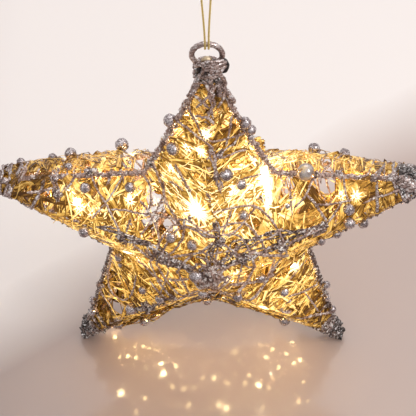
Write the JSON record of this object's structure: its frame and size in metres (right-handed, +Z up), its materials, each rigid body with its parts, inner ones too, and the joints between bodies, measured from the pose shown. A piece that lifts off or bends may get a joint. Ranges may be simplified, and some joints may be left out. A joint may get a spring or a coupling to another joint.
{
  "type": "led christmas star",
  "caption": "Puffed five-pointed star of glittered wire wound with gold film and beaded thread, lit inside, hung by a ring and a cord loop.",
  "frame": {"origin": "top of the cord loop, which a hook carries 1.5 mm lower, inside the loop", "axes": "+Z up along the hanging cord, the star's front faces -Y, +X to the right seen from the front"},
  "size_m": [0.3072, 0.117, 0.3798],
  "materials": {
    "glitter_wire": "silver-taupe glitter over steel wire",
    "gold_film": "transparent gold film, crumpled",
    "glitter_thread": "silver glitter thread and glitter beads",
    "dark_glitter": "clumped glitter, dark gaps",
    "glitter_clump": "clumped silver-taupe glitter",
    "ring": "glittered metal ring",
    "gold_cord": "twisted metallic gold cord",
    "light_string": "thin lead with warm white drop lamps",
    "case_plastic": "satin",
    "lid_plastic": "satin",
    "knob_plastic": "satin",
    "cell_jacket": "plain jacket",
    "spring_steel": "plated"
  },
  "bodies": {
    "star": {"outline_wire_top_a": "glitter_wire", "outline_wire_top_b": "glitter_wire", "front_ridge_top": "glitter_wire", "back_ridge_top": "glitter_wire", "film_net_front_top": "gold_film", "film_net_back_top": "gold_film", "glitter_thread_top": "glitter_thread", "outline_wire_left_a": "glitter_wire", "outline_wire_left_b": "glitter_wire", "front_ridge_left": "glitter_wire", "back_ridge_left": "glitter_wire", "film_net_front_left": "gold_film", "film_net_back_left": "gold_film", "glitter_thread_left": "glitter_thread", "outline_wire_foot_left_a": "glitter_wire", "outline_wire_foot_left_b": "glitter_wire", "front_ridge_foot_left": "glitter_wire", "back_ridge_foot_left": "glitter_wire", "film_net_front_foot_left": "gold_film", "film_net_back_foot_left": "gold_film", "glitter_thread_foot_left": "glitter_thread", "outline_wire_foot_right_a": "glitter_wire", "outline_wire_foot_right_b": "glitter_wire", "front_ridge_foot_right": "glitter_wire", "back_ridge_foot_right": "glitter_wire", "film_net_front_foot_right": "gold_film", "film_net_back_foot_right": "gold_film", "glitter_thread_foot_right": "glitter_thread", "outline_wire_right_a": "glitter_wire", "outline_wire_right_b": "glitter_wire", "front_ridge_right": "glitter_wire", "back_ridge_right": "glitter_wire", "film_net_front_right": "gold_film", "film_net_back_right": "gold_film", "glitter_thread_right": "glitter_thread", "glitter_thread_hub": "glitter_thread", "tip_glitter_left": "dark_glitter", "tip_glitter_foot_left": "dark_glitter", "tip_glitter_foot_right": "dark_glitter", "tip_glitter_right": "dark_glitter", "top_neck_glitter": "glitter_clump", "front_hub_glitter": "glitter_clump", "hanging_ring": "ring", "hanging_cord": "gold_cord", "cord_hitch": "gold_cord", "light_string": "light_string", "battery_case": "case_plastic", "cell_upper": "cell_jacket", "cell_lower": "cell_jacket", "contact_a": "spring_steel", "contact_b": "spring_steel", "contact_c": "spring_steel", "contact_d": "spring_steel"},
    "lid": {"battery_lid": "lid_plastic"},
    "switch": {"switch_knob": "knob_plastic"}
  },
  "joints": [
    {"name": "lid_slide", "type": "slide", "parent": "star", "child": "lid", "axis": [-1, 0, 0], "range_m": [0, 0.056]},
    {"name": "switch_slide", "type": "slide", "parent": "star", "child": "switch", "axis": [1, 0, 0], "range_m": [0, 0.0034]}
  ]
}
